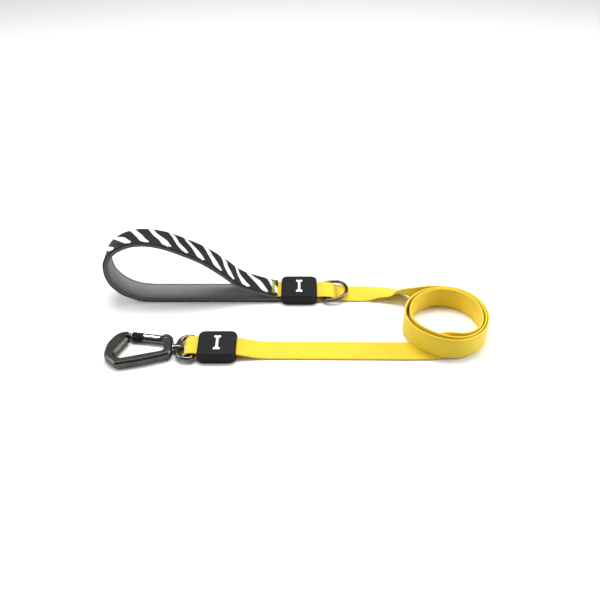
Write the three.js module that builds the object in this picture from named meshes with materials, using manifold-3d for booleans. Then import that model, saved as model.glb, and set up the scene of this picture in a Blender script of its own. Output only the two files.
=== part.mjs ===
// A short dog leash: a padded hand loop, flat webbing wound into a loose coil, and a locking snap hook
// on a swivel ring. Millimetres, +Z up, lying on the plane z = 0. +X runs from the hand loop to the coil,
// and the hand loop lies on the +Y side of the hook.
import * as THREE from "three";
import { mergeVertices } from "three/addons/utils/BufferGeometryUtils.js";
import Module from "manifold-3d";

const wasm = await Module();
wasm.setup();

// Driving dimensions.
const GAP = 0.3; // clearance between pieces that touch
const WEBBING_WIDTH = 20;
const WEBBING_THICKNESS = 1.4;
const HANDLE_Y = 39.7; // centre line of the hand loop and of the webbing that leaves it
const HOOK_Y = -32.4; // centre line of the hook and of the webbing that leads to it

// The hand loop is three layers: a printed cover outside, webbing in the middle, a soft pad inside.
const HANDLE_WIDTH = 21;
const COVER_THICKNESS = 0.7;
const PAD_THICKNESS = 1.6;
const CORE_INNER = -WEBBING_THICKNESS / 2;
const CORE_OUTER = WEBBING_THICKNESS / 2;
const COVER_INNER = CORE_OUTER + GAP;
const COVER_OUTER = COVER_INNER + COVER_THICKNESS;
const PAD_OUTER = CORE_INNER - GAP;
const PAD_INNER = PAD_OUTER - PAD_THICKNESS;

// Distances along the hand loop's route from the end of the upper run.
const COVER_SPAN = [18.5, 365.5];
const PAD_SPAN = [31, 361];
const BARTACK = { span: [20, 24.5], width: 16, height: 0.4 };
const JOIN_STITCHING = 14;

// Keeper sleeves: rubber tubes that hide the sewn joins.
const SLEEVE = { length: 31.5, width: 28.6, height: 10, corner: 3.6, rim: 1.1 };
const SLEEVE_SLOT = { width: 21.6, bottom: 1.1, top: 8.6 };
const HANDLE_SLEEVE_X = 62;
const HOOK_SLEEVE_X = -4.75;
const MARK = { length: 17, waist: 1.1, lobe: 1.6, depth: 0.7, proud: 0.15 };
const UPPER_LAYER_Z = 5.8; // webbing centre inside a keeper sleeve
const LOWER_LAYER_Z = 2.3;

// Coil of webbing standing on its edge.
const COIL = { x: 184.6, y: -7.1, outer: 35.2, inner: 28.4, height: WEBBING_WIDTH };

// D-ring: its straight bar lies under the webbing and its bow rests on top of it.
const D_RING = { barX: 84, barZ: 3.2, wire: 1.5, halfWidth: 12.75, reach: 20.5, corner: 3, tilt: 9 };

// Hardware lying flat, all centred on one height.
const HARDWARE_Z = 3.8;
const RING = { barX: -24.5, wire: 2.1, halfWidth: 12.9, leftX: -38.2, bossLeft: -40.3, bossRight: -34.6 };
const RING_BOSS_RADIUS = 3.3;
const STEM = { radius: 1.6, end: -46.2, headRadius: 2.9, headLength: 2.1, groove: 0.35 };
const WASHER = { radius: 3.1, thickness: 0.7 };

// Carabiner. Its outlines are corner points measured from the end nearest the ring, each with the
// length of its rounding.
const FRAME = { x: -41.6, thickness: 2 * HARDWARE_Z, chamfer: 1.5 };
const FRAME_OUTER = [
  [0, 12.6, 6.5],
  [-34, 17, 2],
  [-46.6, 17, 8],
  [-54.4, 2.5, 7],
  [-54, -12.2, 4],
  [-43, -21.9, 2],
  [-21.5, -17.2, 9],
  [0, -9.6, 4.5],
];
const FRAME_INNER = [
  [-6.6, -5, 2.5],
  [-40.9, -14.2, 2],
  [-45.9, -10.2, 2.5],
  [-36.2, 10, 2],
  [-7, 5.4, 2],
];
// The gate: distances run from the pivot towards the nose, along the gate's own axis.
const PIVOT = { x: FRAME.x - 6.1, y: HOOK_Y + 8.9 };
const GATE_TILT = 9; // degrees between the closed gate and the X axis
const GATE = { barrelStart: 4.2, shoulder: 19.6, tip: 30.2, barrelRadius: 3.6, neckRadius: 2.6 };
const TONGUE = { thickness: 3.2, radius: 3.4, cheekRadius: 3.8 };
const NOSE = { spigot: 30.6, body: 33 };
const LOCK = { start: 19.9, length: 9, radius: 3.8, bore: 2.95, ridges: 18, ridgeDepth: 0.28 };
const PIN_RADIUS = 0.75;
const SPRING_BORE = { radius: 0.85, offset: 2.15, end: 12.6 };
const KEY_SLOT = { left: -10.5, right: -6, near: -1.4, far: 1.3, width: 0.7, depth: 0.5 };
const ROD = { radius: 0.5, start: -3.1, end: 4 };

// Hand-chosen routes. Each station is [x, z]; the hand loop starts and ends in its keeper sleeve.
const HANDLE_ROUTE = [
  [63, UPPER_LAYER_Z],
  [52, UPPER_LAYER_Z],
  [44, 6.1],
  [34, 8.6],
  [21.6, 13],
  [9.3, 18.9],
  [-2, 29.3],
  [-19, 43.4],
  [-35.7, 52.7],
  [-52.6, 60.1],
  [-68, 62.9],
  [-82.2, 60.9],
  [-95.6, 53.2],
  [-102.9, 42.4],
  [-103.8, 28.9],
  [-100.5, 18.6],
  [-92.5, 9.6],
  [-82, 4.1],
  [-70, 2],
  [-55, 1.75],
  [0, 1.75],
  [34, 1.75],
  [47, LOWER_LAYER_Z],
  [63, LOWER_LAYER_Z],
];
const TAB_ROUTE = [
  [63.7, LOWER_LAYER_Z],
  [76, LOWER_LAYER_Z],
  [80, 1.3],
  [84, 0.75],
  [87, 1.2],
  [90, 2.7],
  [93, 2.1],
  [97, 0.85],
];
const HOOK_LOOP_ROUTE = [
  [-6, UPPER_LAYER_Z],
  [-14, 6],
  [-19, 6.8],
  [-24.5, 7.2],
  [-28.2, 7],
  [-30.6, 4.9],
  [-30.4, 2.2],
  [-28, 0.88],
  [-25, 0.75],
  [-22.4, 1.35],
  [-19.8, 2.2],
  [-15, LOWER_LAYER_Z],
  [-6, LOWER_LAYER_Z],
];
const TAB = { width: 19, thickness: 1.2 };

// Webbing stations are [x, y, z, roll in degrees]; roll lifts the edge on the -Y side.
const UPPER_RUN = [
  [63.7, 39.7, 5.8, 0],
  [78, 39.7, 5.8, 0],
  [86, 39.7, 5.75, 0],
  [91, 39.7, 4.8, 0],
  [97, 39.7, 2.7, 0],
  [103, 39.7, 1.25, 0],
  [110, 39.7, 0.85, 0],
  [121, 39.6, 0.85, 0],
  [134, 38.8, 2.9, 12],
  [147, 36, 4.9, 24],
  [158, 30.4, 9.5, 60],
  [168, 28.4, 10.05, 80],
  [174.6, 28, 10.05, 88],
];
const LOWER_RUN = [
  [-5.3, HOOK_Y, 5.8, 0],
  [8, HOOK_Y, 5.7, 0],
  [14, HOOK_Y, 5, 0],
  [22, HOOK_Y, 3, 0],
  [30, HOOK_Y, 1.4, 0],
  [38, HOOK_Y, 0.95, 0],
  [50, HOOK_Y, 0.8, 0],
  [152, HOOK_Y - 0.8, 0.8, 0],
];

const material = (color, roughness, metalness = 0) =>
  new THREE.MeshStandardMaterial({ color, roughness, metalness });
const WEBBING = material(0xf4e04a, 0.7);
const PRINT = material(0x26262a, 0.8);
const PAD = material(0x7d7d7e, 0.9);
const THREAD = material(0xc8d64a, 0.7);
const RUBBER = material(0x252628, 0.65);
const WHITE_RUBBER = material(0xf0f0ee, 0.6);
const GUNMETAL = material(0x5c5852, 0.4, 1);
const BRIGHT_STEEL = material(0xd6d6d4, 0.2, 1);
const BLACK_ALUMINIUM = material(0x1b1b1d, 0.5, 1);

// ---- solids ----

function solid(geometry) {
  const bare = geometry.index ? geometry.toNonIndexed() : geometry.clone();
  bare.deleteAttribute("normal");
  bare.deleteAttribute("uv");
  const merged = mergeVertices(bare, 1e-3);
  return new wasm.Manifold(
    new wasm.Mesh({
      numProp: 3,
      vertProperties: new Float32Array(merged.attributes.position.array),
      triVerts: new Uint32Array(merged.index.array),
    }),
  );
}

function geometryOf(manifold) {
  const mesh = manifold.getMesh();
  const geometry = new THREE.BufferGeometry();
  geometry.setAttribute("position", new THREE.BufferAttribute(mesh.vertProperties, 3));
  geometry.setIndex(new THREE.BufferAttribute(mesh.triVerts, 1));
  geometry.computeVertexNormals();
  return geometry;
}

const cut = (geometry, ...tools) =>
  geometryOf(tools.reduce((left, tool) => left.subtract(solid(tool)), solid(geometry)));
const join = (geometry, ...others) =>
  geometryOf(others.reduce((whole, other) => whole.add(solid(other)), solid(geometry)));

const box = (x0, x1, y0, y1, z0, z1) =>
  new THREE.BoxGeometry(x1 - x0, y1 - y0, z1 - z0).translate(
    (x0 + x1) / 2,
    (y0 + y1) / 2,
    (z0 + z1) / 2,
  );

// A cylinder along X from x0 to x1.
const rodX = (x0, x1, radius, sides = 20) =>
  new THREE.CylinderGeometry(radius, radius, x1 - x0, sides)
    .rotateZ(-Math.PI / 2)
    .translate((x0 + x1) / 2, 0, 0);

// A cylinder along Z, centred on z = 0.
const rodZ = (length, radius, sides = 20) =>
  new THREE.CylinderGeometry(radius, radius, length, sides).rotateX(Math.PI / 2);

// A body of revolution about X. The profile is a list of [x, radius].
const turned = (profile, sides = 20) =>
  new THREE.LatheGeometry(
    profile.map(([x, radius]) => new THREE.Vector2(radius, x)),
    sides,
  ).rotateZ(-Math.PI / 2);

// A closed outline through [x, y, rounding] corners.
function roundedOutline(corners, PathType = THREE.Shape) {
  const outline = new PathType();
  corners.forEach(([x, y, rounding], i) => {
    const corner = new THREE.Vector2(x, y);
    const before = new THREE.Vector2(...corners.at(i - 1));
    const after = new THREE.Vector2(...corners[(i + 1) % corners.length]);
    const start = corner.clone().add(before.sub(corner).setLength(rounding));
    const end = corner.clone().add(after.sub(corner).setLength(rounding));
    if (i === 0) outline.moveTo(start.x, start.y);
    else outline.lineTo(start.x, start.y);
    outline.quadraticCurveTo(x, y, end.x, end.y);
  });
  outline.closePath();
  return outline;
}

// A plate of the given thickness centred on z = 0, with its edges chamfered or rounded.
function plate(outline, thickness, bevel, bevelSegments = 1, curveSegments = 4) {
  return new THREE.ExtrudeGeometry(outline, {
    depth: thickness - 2 * bevel,
    bevelEnabled: bevel > 0,
    bevelThickness: bevel,
    bevelSize: bevel,
    bevelOffset: -bevel,
    bevelSegments,
    curveSegments,
  }).translate(0, 0, bevel - thickness / 2);
}

// A layer of a band whose middle follows an XZ route: it lies between two distances from the route,
// measured to the left of the direction of travel, and covers the route from one distance to another.
function bandLayer(route, inner, outer, width, y, from = 0, to = Infinity, step = 4.5) {
  const curve = new THREE.CatmullRomCurve3(
    route.map(([x, z]) => new THREE.Vector3(x, 0, z)),
    false,
    "centripetal",
  );
  const length = curve.getLength();
  const end = Math.min(to, length);
  const count = Math.ceil((end - from) / step);
  const side = (offset) =>
    Array.from({ length: count + 1 }, (_, i) => {
      const along = Math.min(1, (from + ((end - from) * i) / count) / length);
      const point = curve.getPointAt(along);
      const tangent = curve.getTangentAt(along);
      return new THREE.Vector2(point.x + tangent.z * offset, point.z - tangent.x * offset);
    });
  const outline = new THREE.Shape([...side(outer), ...side(inner).reverse()]);
  return new THREE.ExtrudeGeometry(outline, { depth: width, bevelEnabled: false })
    .rotateX(Math.PI / 2)
    .translate(0, y + width / 2, 0);
}

const tail = (route, thickness, width, y) =>
  bandLayer(route, -thickness / 2, thickness / 2, width, y, 0, Infinity, 1.8);

// Flat webbing along stations of [x, y, z, roll].
function webbing(stations, steps) {
  const curve = new THREE.CatmullRomCurve3(
    stations.map(([x, y, z]) => new THREE.Vector3(x, y, z)),
    false,
    "centripetal",
  );
  const geometry = new THREE.BoxGeometry(1, WEBBING_WIDTH, WEBBING_THICKNESS, steps, 1, 1);
  const position = geometry.attributes.position;
  const corner = new THREE.Vector3();
  for (let i = 0; i < position.count; i++) {
    corner.fromBufferAttribute(position, i);
    const t = corner.x + 0.5;
    const point = curve.getPoint(t);
    const tangent = curve.getTangent(t);
    const place = Math.min(t * (stations.length - 1), stations.length - 1 - 1e-9);
    const before = stations[Math.floor(place)][3];
    const after = stations[Math.floor(place) + 1][3];
    const roll = THREE.MathUtils.degToRad(THREE.MathUtils.lerp(before, after, place % 1));
    const side = new THREE.Vector3(-tangent.y, tangent.x, 0).normalize();
    side.applyAxisAngle(tangent, -roll);
    const up = tangent.clone().cross(side);
    point.addScaledVector(side, corner.y).addScaledVector(up, corner.z);
    position.setXYZ(i, point.x, point.y, point.z);
  }
  return geometry;
}

// A round wire bent along a closed outline in the XY plane.
function wireLoop(outline, radius, steps, sides = 10) {
  const points = outline.getSpacedPoints(steps).slice(0, steps);
  const geometry = new THREE.TorusGeometry(1, 0.5, sides, steps);
  const position = geometry.attributes.position;
  for (let j = 0; j <= sides; j++) {
    const angle = (j / sides) * 2 * Math.PI;
    for (let i = 0; i <= steps; i++) {
      const here = points[i % steps];
      const tangent = points[(i + 1) % steps].clone().sub(points[(i + steps - 1) % steps]).normalize();
      const out = radius * Math.cos(angle);
      position.setXYZ(
        j * (steps + 1) + i,
        here.x + tangent.y * out,
        here.y - tangent.x * out,
        radius * Math.sin(angle),
      );
    }
  }
  return geometry;
}

// ---- keeper sleeves ----

// A plain bone outline, lying along Y, grown by a margin.
function markOutline(margin) {
  const outline = new THREE.Shape();
  const lobe = MARK.lobe + margin;
  const waist = MARK.waist + margin;
  const lobeX = MARK.lobe * 0.8;
  const lobeY = MARK.length / 2 - MARK.lobe;
  const meet = lobeY - Math.sqrt(lobe ** 2 - (waist - lobeX) ** 2);
  const inner = Math.atan2(meet - lobeY, waist - lobeX);
  const tipAngle = Math.acos(-lobeX / lobe);
  outline.moveTo(waist, -meet);
  outline.lineTo(waist, meet);
  outline.absarc(lobeX, lobeY, lobe, inner, tipAngle, false);
  outline.absarc(-lobeX, lobeY, lobe, Math.PI - tipAngle, Math.PI - inner, false);
  outline.lineTo(-waist, -meet);
  outline.absarc(-lobeX, -lobeY, lobe, Math.PI + inner, Math.PI + tipAngle, false);
  outline.absarc(lobeX, -lobeY, lobe, -tipAngle, -inner, false);
  outline.closePath();
  return outline;
}

function keeperSleeve() {
  const { length, width, height, corner, rim } = SLEEVE;
  const x = length / 2;
  const y = width / 2;
  const outline = roundedOutline([
    [-x, -y, corner],
    [x, -y, corner],
    [x, y, corner],
    [-x, y, corner],
  ]);
  const body = plate(outline, height, rim, 2, 5).translate(0, 0, height / 2);
  const slotY = SLEEVE_SLOT.width / 2;
  const slot = box(-x - 1, x + 1, -slotY, slotY, SLEEVE_SLOT.bottom, SLEEVE_SLOT.top);
  const recess = plate(markOutline(GAP), 2, 0, 0, 5).translate(0, 0, height - MARK.depth + 1);
  return cut(body, slot, recess);
}

function sleeveMark() {
  const thickness = MARK.depth - GAP + MARK.proud;
  const z = SLEEVE.height + MARK.proud - thickness / 2;
  return plate(markOutline(0), thickness, 0, 0, 5).translate(0, 0, z);
}

// ---- hardware ----

function dRing() {
  const { halfWidth, reach, corner, wire } = D_RING;
  const bow = new THREE.Shape();
  bow.moveTo(0, 0);
  bow.lineTo(0, -halfWidth + corner);
  bow.quadraticCurveTo(0, -halfWidth, corner, -halfWidth);
  bow.lineTo(reach - halfWidth, -halfWidth);
  bow.absarc(reach - halfWidth, 0, halfWidth, -Math.PI / 2, Math.PI / 2, false);
  bow.lineTo(corner, halfWidth);
  bow.quadraticCurveTo(0, halfWidth, 0, halfWidth - corner);
  bow.closePath();
  return wireLoop(bow, wire, 44);
}

function swivelRing() {
  const { barX, wire, halfWidth, leftX, bossLeft, bossRight } = RING;
  const loop = roundedOutline([
    [barX, -halfWidth, 2.8],
    [barX, halfWidth, 2.8],
    [leftX + 3, halfWidth, 7],
    [leftX, 0, 6.5],
    [leftX + 3, -halfWidth, 7],
  ]);
  const boss = rodX(bossLeft, bossRight, RING_BOSS_RADIUS);
  const bore = rodX(bossLeft - 1, bossRight + 1, STEM.radius + GAP);
  return cut(join(wireLoop(loop, wire, 44), boss), bore);
}

function swivelStem() {
  const { radius, end, headRadius, headLength, groove } = STEM;
  const head = RING.bossRight + GAP;
  const rib = headLength / 5;
  return turned([
    [end, 0],
    [end, radius],
    [head, radius],
    [head, headRadius],
    [head + rib, headRadius],
    [head + 1.5 * rib, headRadius - groove],
    [head + 2 * rib, headRadius - groove],
    [head + 2.5 * rib, headRadius],
    [head + 3.5 * rib, headRadius],
    [head + 4 * rib, headRadius - groove],
    [head + headLength, headRadius - 3 * groove],
    [head + headLength, 0],
  ]);
}

function swivelWasher() {
  const x0 = FRAME.x + GAP;
  const ring = rodX(x0, x0 + WASHER.thickness, WASHER.radius);
  return cut(ring, rodX(x0 - 1, x0 + WASHER.thickness + 1, STEM.radius + GAP));
}

// Moves a piece made along the gate's axis, pointing towards -X from the pivot, into the closed gate's
// place.
const onGate = (geometry) =>
  geometry
    .rotateZ(THREE.MathUtils.degToRad(-GATE_TILT))
    .translate(PIVOT.x, PIVOT.y, HARDWARE_Z);

function carabinerFrame() {
  const outer = roundedOutline(FRAME_OUTER);
  outer.holes.push(roundedOutline(FRAME_INNER, THREE.Path));
  const body = plate(outer, FRAME.thickness, FRAME.chamfer, 1, 8);
  body.translate(FRAME.x, HOOK_Y, HARDWARE_Z);
  const gateGap = onGate(box(-NOSE.body, 0, -5.5, 8, -5, 5));
  const cheeks = onGate(rodZ(FRAME.thickness, TONGUE.cheekRadius, 24));
  const slotHalf = TONGUE.thickness / 2 + GAP;
  const tongueSlot = onGate(box(-NOSE.body, TONGUE.radius + 0.9, -4.2, 8, -slotHalf, slotHalf));
  const pinHole = onGate(rodZ(10, PIN_RADIUS + GAP));
  const stemBore = rodX(STEM.end - GAP, FRAME.x + 1, STEM.radius + GAP).translate(0, HOOK_Y, HARDWARE_Z);
  const spigot = onGate(rodX(-NOSE.body - 2, -NOSE.spigot, GATE.neckRadius));
  return join(cut(join(cut(body, gateGap), cheeks), tongueSlot, pinHole, stemBore), spigot);
}

function gateBarrel() {
  const { barrelStart, shoulder, tip, barrelRadius, neckRadius } = GATE;
  const { radius, thickness } = TONGUE;
  const chamfer = 0.5;
  const barrel = turned([
    [-tip, 0],
    [-tip, neckRadius - chamfer],
    [-tip + chamfer, neckRadius],
    [-shoulder, neckRadius],
    [-shoulder, barrelRadius],
    [-barrelStart - chamfer, barrelRadius],
    [-barrelStart, barrelRadius - chamfer],
    [-barrelStart, 0],
  ]);
  const tongue = join(
    rodZ(thickness, radius, 24),
    box(-barrelStart - 1, 0, -radius, radius, -thickness / 2, thickness / 2),
  );
  const pinHole = rodZ(10, PIN_RADIUS + GAP);
  const springBore = rodX(-SPRING_BORE.end, radius + 1, SPRING_BORE.radius, 12).translate(
    0,
    -SPRING_BORE.offset,
    0,
  );
  const { left, right, near, far, width, depth } = KEY_SLOT;
  const keyBottom = barrelRadius - depth;
  const keyTop = barrelRadius + 1;
  const keyLong = box(left, right, far - width, far, keyBottom, keyTop);
  const keyShort = box(right - width, right, near, far, keyBottom, keyTop);
  return onGate(cut(join(barrel, tongue), pinHole, springBore, keyLong, keyShort));
}

function lockingSleeve() {
  const { start, length, radius, bore, ridges, ridgeDepth } = LOCK;
  const outline = new THREE.Shape(
    Array.from({ length: 2 * ridges }, (_, i) => {
      const angle = (i * Math.PI) / ridges;
      const reach = i % 2 ? radius - ridgeDepth : radius;
      return new THREE.Vector2(reach * Math.cos(angle), reach * Math.sin(angle));
    }),
  );
  const body = plate(outline, length, 0.3).rotateY(Math.PI / 2);
  const ring = cut(body, rodX(-length, length, bore));
  return onGate(ring.translate(-start - length / 2, 0, 0));
}

// The push rod and its spring lie in the gate's lower bore.
const gateRod = () =>
  onGate(rodX(-ROD.end, -ROD.start, ROD.radius, 12).translate(0, -SPRING_BORE.offset, 0));
const gateSpring = () =>
  onGate(
    rodX(-SPRING_BORE.end + GAP, -ROD.end - GAP, ROD.radius, 12).translate(0, -SPRING_BORE.offset, 0),
  );

// ---- assembly ----

const leash = new THREE.Group();

function add(name, geometry, finish, parent = leash) {
  const mesh = new THREE.Mesh(geometry, finish);
  mesh.name = name;
  parent.add(mesh);
}

function addSleeve(side, x, y) {
  const group = new THREE.Group();
  group.position.set(x, y, 0);
  leash.add(group);
  add(`${side}_sleeve`, keeperSleeve(), RUBBER, group);
  add(`${side}_sleeve_mark`, sleeveMark(), WHITE_RUBBER, group);
  const lowest = LOWER_LAYER_Z + CORE_OUTER + GAP;
  const highest = UPPER_LAYER_Z + CORE_INNER - GAP;
  const reach = JOIN_STITCHING / 2;
  add(`${side}_join_stitching`, box(-reach, reach, -reach, reach, lowest, highest), THREAD, group);
}

// Hand loop. Distances along its route start at the end of the upper run, inside the sleeve.
const handleLayer = (inner, outer, width, from, to, step) =>
  bandLayer(HANDLE_ROUTE, inner, outer, width, HANDLE_Y, from, to, step);
add("handle_core", handleLayer(CORE_INNER, CORE_OUTER, WEBBING_WIDTH), WEBBING);
add("handle_cover", handleLayer(COVER_INNER, COVER_OUTER, HANDLE_WIDTH, ...COVER_SPAN), PRINT);
add("handle_pad", handleLayer(PAD_INNER, PAD_OUTER, HANDLE_WIDTH, ...PAD_SPAN), PAD);
const tackInner = COVER_OUTER + GAP;
const tackOuter = tackInner + BARTACK.height;
add("handle_bartack", handleLayer(tackInner, tackOuter, BARTACK.width, ...BARTACK.span, 2), THREAD);
addSleeve("handle", HANDLE_SLEEVE_X, HANDLE_Y);

// D-ring and the tab that holds its bar.
add("ring_tab", tail(TAB_ROUTE, TAB.thickness, TAB.width, HANDLE_Y), WEBBING);
const ringGroup = new THREE.Group();
ringGroup.position.set(D_RING.barX, HANDLE_Y, D_RING.barZ);
ringGroup.rotation.y = THREE.MathUtils.degToRad(-D_RING.tilt);
leash.add(ringGroup);
add("d_ring", dRing(), GUNMETAL, ringGroup);

// Free webbing.
add("webbing_upper_run", webbing(UPPER_RUN, 44), WEBBING);
const coilProfile = [
  [COIL.inner, 0],
  [COIL.outer, 0],
  [COIL.outer, COIL.height],
  [COIL.inner, COIL.height],
  [COIL.inner, 0],
].map(([radius, z]) => new THREE.Vector2(radius, z));
const coil = new THREE.LatheGeometry(coilProfile, 48).rotateX(Math.PI / 2).translate(COIL.x, COIL.y, 0);
add("webbing_coil", coil, WEBBING);
add("webbing_lower_run", webbing(LOWER_RUN, 36), WEBBING);

// Hook end.
addSleeve("hook", HOOK_SLEEVE_X, HOOK_Y);
add("hook_loop", tail(HOOK_LOOP_ROUTE, WEBBING_THICKNESS, WEBBING_WIDTH, HOOK_Y), WEBBING);
const swivelGroup = new THREE.Group();
swivelGroup.position.set(0, HOOK_Y, HARDWARE_Z);
leash.add(swivelGroup);
add("swivel_ring", swivelRing(), GUNMETAL, swivelGroup);
add("swivel_stem", swivelStem(), GUNMETAL, swivelGroup);
add("swivel_washer", swivelWasher(), BRIGHT_STEEL, swivelGroup);

// Carabiner.
add("carabiner_frame", carabinerFrame(), GUNMETAL);
add("gate_pivot_pin", onGate(rodZ(7, PIN_RADIUS, 14)), BRIGHT_STEEL);
add("gate_barrel", gateBarrel(), BRIGHT_STEEL);
add("gate_push_rod", gateRod(), BRIGHT_STEEL);
add("gate_spring", gateSpring(), BRIGHT_STEEL);
add("locking_sleeve", lockingSleeve(), BLACK_ALUMINIUM);

export default leash;
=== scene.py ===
import itertools
import math

import bmesh
import bpy
import numpy as np
from mathutils import Matrix, Vector


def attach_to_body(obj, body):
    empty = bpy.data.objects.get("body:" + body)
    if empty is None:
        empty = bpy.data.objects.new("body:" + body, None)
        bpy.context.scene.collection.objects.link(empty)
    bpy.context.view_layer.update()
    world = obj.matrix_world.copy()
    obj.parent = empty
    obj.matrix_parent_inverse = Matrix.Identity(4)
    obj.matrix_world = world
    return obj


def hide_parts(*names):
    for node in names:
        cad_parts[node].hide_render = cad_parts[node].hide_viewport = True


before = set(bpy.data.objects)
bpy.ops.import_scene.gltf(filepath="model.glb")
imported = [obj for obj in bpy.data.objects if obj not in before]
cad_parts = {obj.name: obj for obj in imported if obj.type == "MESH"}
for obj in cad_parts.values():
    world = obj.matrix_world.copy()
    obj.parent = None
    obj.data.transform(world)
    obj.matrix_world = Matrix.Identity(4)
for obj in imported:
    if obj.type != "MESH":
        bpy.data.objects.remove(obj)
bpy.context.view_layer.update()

# A dog leash lying on a pale floor. Metres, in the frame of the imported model.

# ---- driving dimensions ----
WEBBING_WIDTH = 0.020
WEBBING_THICKNESS = 0.0014
HALF_WEBBING = WEBBING_THICKNESS / 2
HANDLE_Y = 0.0397  # the line that the hand loop and its keeper lie on
HOOK_Y = -0.0324  # the line that the hook and its keeper lie on
HARDWARE_Z = 0.0038  # height of the middle of the swivel ring, the carabiner and the gate
FLOOR_Z = -0.0003
RIGHT = (0.0, -1.0, 0.0)  # the side of every strip that is bent in a plane of constant Y

# Distances between samples along a strip.
WEBBING_STEP = 0.0016
LOOP_STEP = 0.0012
TAIL_STEP = 0.0008
STITCH_STEP = 0.0004
SPLINE_STEPS = 24  # fine steps between two stations

# ---- small geometry helpers ----


def distances(points, power=1.0):
    """The distance along points to each of them; a power below 1 evens out the steps."""
    steps = np.linalg.norm(np.diff(points, axis=0), axis=1)
    return np.concatenate([[0], np.cumsum(steps**power)])


def through(stations, step):
    """Even samples, about step apart, of a smooth line (a centripetal Catmull-Rom spline) through
    stations [x, y, z, ...], and the distance along it to each sample."""
    keys = np.array(stations, float)
    keys = np.vstack([2 * keys[0] - keys[1], keys, 2 * keys[-1] - keys[-2]])
    knots = distances(keys[:, :3], 0.5)
    fine = []
    for i in range(1, len(keys) - 2):
        last = i == len(keys) - 3
        t = np.linspace(knots[i], knots[i + 1], SPLINE_STEPS, endpoint=last)[:, None]
        a = [
            ((knots[j + 1] - t) * keys[j] + (t - knots[j]) * keys[j + 1]) / (knots[j + 1] - knots[j])
            for j in (i - 1, i, i + 1)
        ]
        b = [
            ((knots[j + 2] - t) * a[k] + (t - knots[j]) * a[k + 1]) / (knots[j + 2] - knots[j])
            for k, j in enumerate((i - 1, i))
        ]
        fine.append(((knots[i + 1] - t) * b[0] + (t - knots[i]) * b[1]) / (knots[i + 1] - knots[i]))
    fine = np.vstack(fine)
    along = distances(fine[:, :3])
    count = max(2, int(round(along[-1] / step)) + 1)
    at = np.linspace(0, along[-1], count)
    return np.column_stack([np.interp(at, along, fine[:, k]) for k in range(fine.shape[1])]), at


def unit(rows):
    return rows / np.linalg.norm(rows, axis=-1, keepdims=True)


def frames_of(samples, side=None):
    """Directions along, across and out of a strip whose samples are [x, y, z, roll in degrees].
    A strip that is bent in one plane gives its side instead of a roll."""
    tangent = unit(np.gradient(samples[:, :3], axis=0))
    if side is not None:
        side = np.broadcast_to(np.array(side, float), tangent.shape)
        return tangent, side, np.cross(tangent, side)
    level = unit(np.cross([0.0, 0.0, 1.0], tangent))
    rise = np.cross(tangent, level)
    roll = np.radians(samples[:, 3:4])
    side = np.cos(roll) * level - np.sin(roll) * rise
    return tangent, side, np.cross(tangent, side)


def new_object(name, vertices, faces, material=None, smooth=True):
    """A mesh object in the scene."""
    mesh = bpy.data.meshes.new(name)
    mesh.from_pydata([tuple(v) for v in vertices], [], faces)
    mesh.validate()
    mesh.polygons.foreach_set("use_smooth", [smooth] * len(mesh.polygons))
    obj = bpy.data.objects.new(name, mesh)
    bpy.context.scene.collection.objects.link(obj)
    if material:
        mesh.materials.append(material)
    return obj


def write_strand(obj, coordinates):
    """Stores each vertex's place on the cloth: along, across and depth, in metres."""
    layer = obj.data.attributes.new("strand", "FLOAT_VECTOR", "POINT")
    layer.data.foreach_set("vector", np.asarray(coordinates, np.float32).ravel())


def attach(obj, body, slot, *nodes):
    """Rides obj on a body and lets it stand for CAD nodes, which it hides. The slot is not used."""
    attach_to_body(obj, body)
    if nodes:
        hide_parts(*nodes)
    return obj


def ring_faces(rings, around, closed=False):
    """Faces between rings of around vertices each: capped at both ends, or closed on itself."""
    faces = []
    for i in range(rings if closed else rings - 1):
        below = i * around
        above = (i + 1) % rings * around
        for j in range(around):
            k = (j + 1) % around
            faces.append((below + j, below + k, above + k, above + j))
    if not closed:
        faces.append(tuple(range(around))[::-1])
        faces.append(tuple((rings - 1) * around + j for j in range(around)))
    return faces


def sweep(name, samples, at, section, material, body, slot, side=None):
    """A strip along samples. section(distance) gives its outline [[across, out], ...] there."""
    tangent, side, out = frames_of(samples, side)
    vertices, coordinates = [], []
    for i in range(len(samples)):
        for a, b in section(at[i]):
            vertices.append(samples[i, :3] + a * side[i] + b * out[i])
            coordinates.append((at[i], a, b))
    around = len(vertices) // len(samples)
    obj = new_object(name, vertices, ring_faces(len(samples), around), material)
    write_strand(obj, coordinates)
    return attach(obj, body, slot)


def flat_section(width, low, high, across=12, corner=5):
    """The outline of a strip: flat faces between two rounded edges."""
    half = (high - low) / 2
    middle = (high + low) / 2
    reach = width / 2 - half
    turn = np.linspace(-math.pi / 2, math.pi / 2, corner)
    right = [(reach + half * math.cos(t), middle + half * math.sin(t)) for t in turn]
    left = [(-a, 2 * middle - b) for a, b in right]
    over = [(x, high) for x in np.linspace(reach, -reach, across)[1:-1]]
    under = [(x, low) for x in np.linspace(-reach, reach, across)[1:-1]]
    return right + over + left + under


# ---- materials ----


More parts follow.
